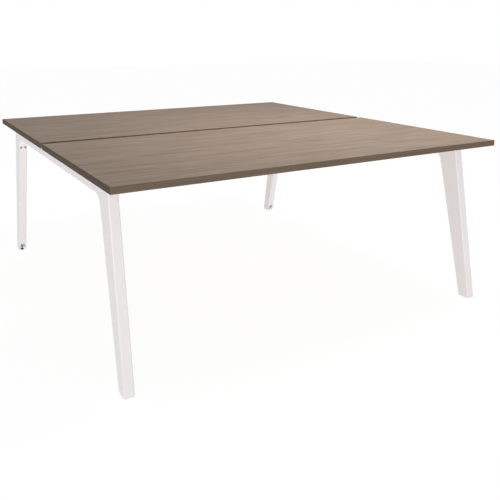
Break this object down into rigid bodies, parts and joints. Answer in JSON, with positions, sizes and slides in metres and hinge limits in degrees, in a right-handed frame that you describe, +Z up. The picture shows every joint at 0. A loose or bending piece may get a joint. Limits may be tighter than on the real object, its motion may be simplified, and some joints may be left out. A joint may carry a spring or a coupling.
{
  "type": "benching desk for two",
  "caption": "Face-to-face benching desk: wood-grain worktops with a cable gap between them, on white steel end frames with tapered splayed legs and levelling feet.",
  "frame": {"origin": "on the floor, under the middle of the desk", "axes": "+X along the worktops to the right as the front user sits, +Y from the front worktop to the rear one, +Z up"},
  "size_m": [1.8, 1.83, 0.75],
  "materials": {
    "worktop_laminate": "grey-brown oak-grain melamine on chipboard, matt, grain along the desk",
    "edge_band": "dark brown-grey ABS edging with a faint grain",
    "white_powder_coat": "white powder coat on steel, satin",
    "zinc_plated_steel": "bright zinc plating",
    "black_glide": "moulded black polyamide"
  },
  "bodies": {
    "desk": {"front_top_board": "worktop_laminate", "front_top_band_front": "edge_band", "front_top_band_rear": "edge_band", "front_top_band_left": "edge_band", "front_top_band_right": "edge_band", "front_top_screw_left_1": "zinc_plated_steel", "front_top_screw_left_2": "zinc_plated_steel", "front_top_screw_right_1": "zinc_plated_steel", "front_top_screw_right_2": "zinc_plated_steel", "rear_top_board": "worktop_laminate", "rear_top_band_front": "edge_band", "rear_top_band_rear": "edge_band", "rear_top_band_left": "edge_band", "rear_top_band_right": "edge_band", "rear_top_screw_left_1": "zinc_plated_steel", "rear_top_screw_left_2": "zinc_plated_steel", "rear_top_screw_right_1": "zinc_plated_steel", "rear_top_screw_right_2": "zinc_plated_steel", "left_crossbar": "white_powder_coat", "right_crossbar": "white_powder_coat", "front_beam": "white_powder_coat", "front_beam_bolt_left_a": "zinc_plated_steel", "front_beam_bolt_left_b": "zinc_plated_steel", "front_beam_bolt_right_a": "zinc_plated_steel", "front_beam_bolt_right_b": "zinc_plated_steel", "rear_beam": "white_powder_coat", "rear_beam_bolt_left_a": "zinc_plated_steel", "rear_beam_bolt_left_b": "zinc_plated_steel", "rear_beam_bolt_right_a": "zinc_plated_steel", "rear_beam_bolt_right_b": "zinc_plated_steel", "left_front_leg": "white_powder_coat", "left_front_knee_tongue": "zinc_plated_steel", "left_front_leg_screw_a": "zinc_plated_steel", "left_front_leg_screw_b": "zinc_plated_steel", "left_front_foot_plate": "zinc_plated_steel", "left_rear_leg": "white_powder_coat", "left_rear_knee_tongue": "zinc_plated_steel", "left_rear_leg_screw_a": "zinc_plated_steel", "left_rear_leg_screw_b": "zinc_plated_steel", "left_rear_foot_plate": "zinc_plated_steel", "right_front_leg": "white_powder_coat", "right_front_knee_tongue": "zinc_plated_steel", "right_front_leg_screw_a": "zinc_plated_steel", "right_front_leg_screw_b": "zinc_plated_steel", "right_front_foot_plate": "zinc_plated_steel", "right_rear_leg": "white_powder_coat", "right_rear_knee_tongue": "zinc_plated_steel", "right_rear_leg_screw_a": "zinc_plated_steel", "right_rear_leg_screw_b": "zinc_plated_steel", "right_rear_foot_plate": "zinc_plated_steel"},
    "left_front_pad": {"left_front_glide_pad": "black_glide"},
    "left_front_stud": {"left_front_glide_stud": "zinc_plated_steel"},
    "left_rear_pad": {"left_rear_glide_pad": "black_glide"},
    "left_rear_stud": {"left_rear_glide_stud": "zinc_plated_steel"},
    "right_front_pad": {"right_front_glide_pad": "black_glide"},
    "right_front_stud": {"right_front_glide_stud": "zinc_plated_steel"},
    "right_rear_pad": {"right_rear_glide_pad": "black_glide"},
    "right_rear_stud": {"right_rear_glide_stud": "zinc_plated_steel"}
  },
  "joints": [
    {"name": "left_front_pad_lower", "type": "slide", "parent": "desk", "child": "left_front_pad", "axis": [0, 0, -1], "range_m": [0, 0.015]},
    {"name": "left_front_stud_turn", "type": "hinge", "parent": "left_front_pad", "child": "left_front_stud", "pos_m": [-0.84, -0.85499, 0.03], "axis": [0, 0, -1], "range_deg": [0, 3600]},
    {"name": "left_rear_pad_lower", "type": "slide", "parent": "desk", "child": "left_rear_pad", "axis": [0, 0, -1], "range_m": [0, 0.015]},
    {"name": "left_rear_stud_turn", "type": "hinge", "parent": "left_rear_pad", "child": "left_rear_stud", "pos_m": [-0.84, 0.85499, 0.03], "axis": [0, 0, -1], "range_deg": [0, 3600]},
    {"name": "right_front_pad_lower", "type": "slide", "parent": "desk", "child": "right_front_pad", "axis": [0, 0, -1], "range_m": [0, 0.015]},
    {"name": "right_front_stud_turn", "type": "hinge", "parent": "right_front_pad", "child": "right_front_stud", "pos_m": [0.84, -0.85499, 0.03], "axis": [0, 0, -1], "range_deg": [0, 3600]},
    {"name": "right_rear_pad_lower", "type": "slide", "parent": "desk", "child": "right_rear_pad", "axis": [0, 0, -1], "range_m": [0, 0.015]},
    {"name": "right_rear_stud_turn", "type": "hinge", "parent": "right_rear_pad", "child": "right_rear_stud", "pos_m": [0.84, 0.85499, 0.03], "axis": [0, 0, -1], "range_deg": [0, 3600]}
  ],
  "couplings": [
    {"joint": "left_front_stud_turn", "follows": "left_front_pad_lower", "rad_per_m": 4188.8},
    {"joint": "left_rear_stud_turn", "follows": "left_rear_pad_lower", "rad_per_m": 4188.8},
    {"joint": "right_front_stud_turn", "follows": "right_front_pad_lower", "rad_per_m": 4188.8},
    {"joint": "right_rear_stud_turn", "follows": "right_rear_pad_lower", "rad_per_m": 4188.8}
  ]
}
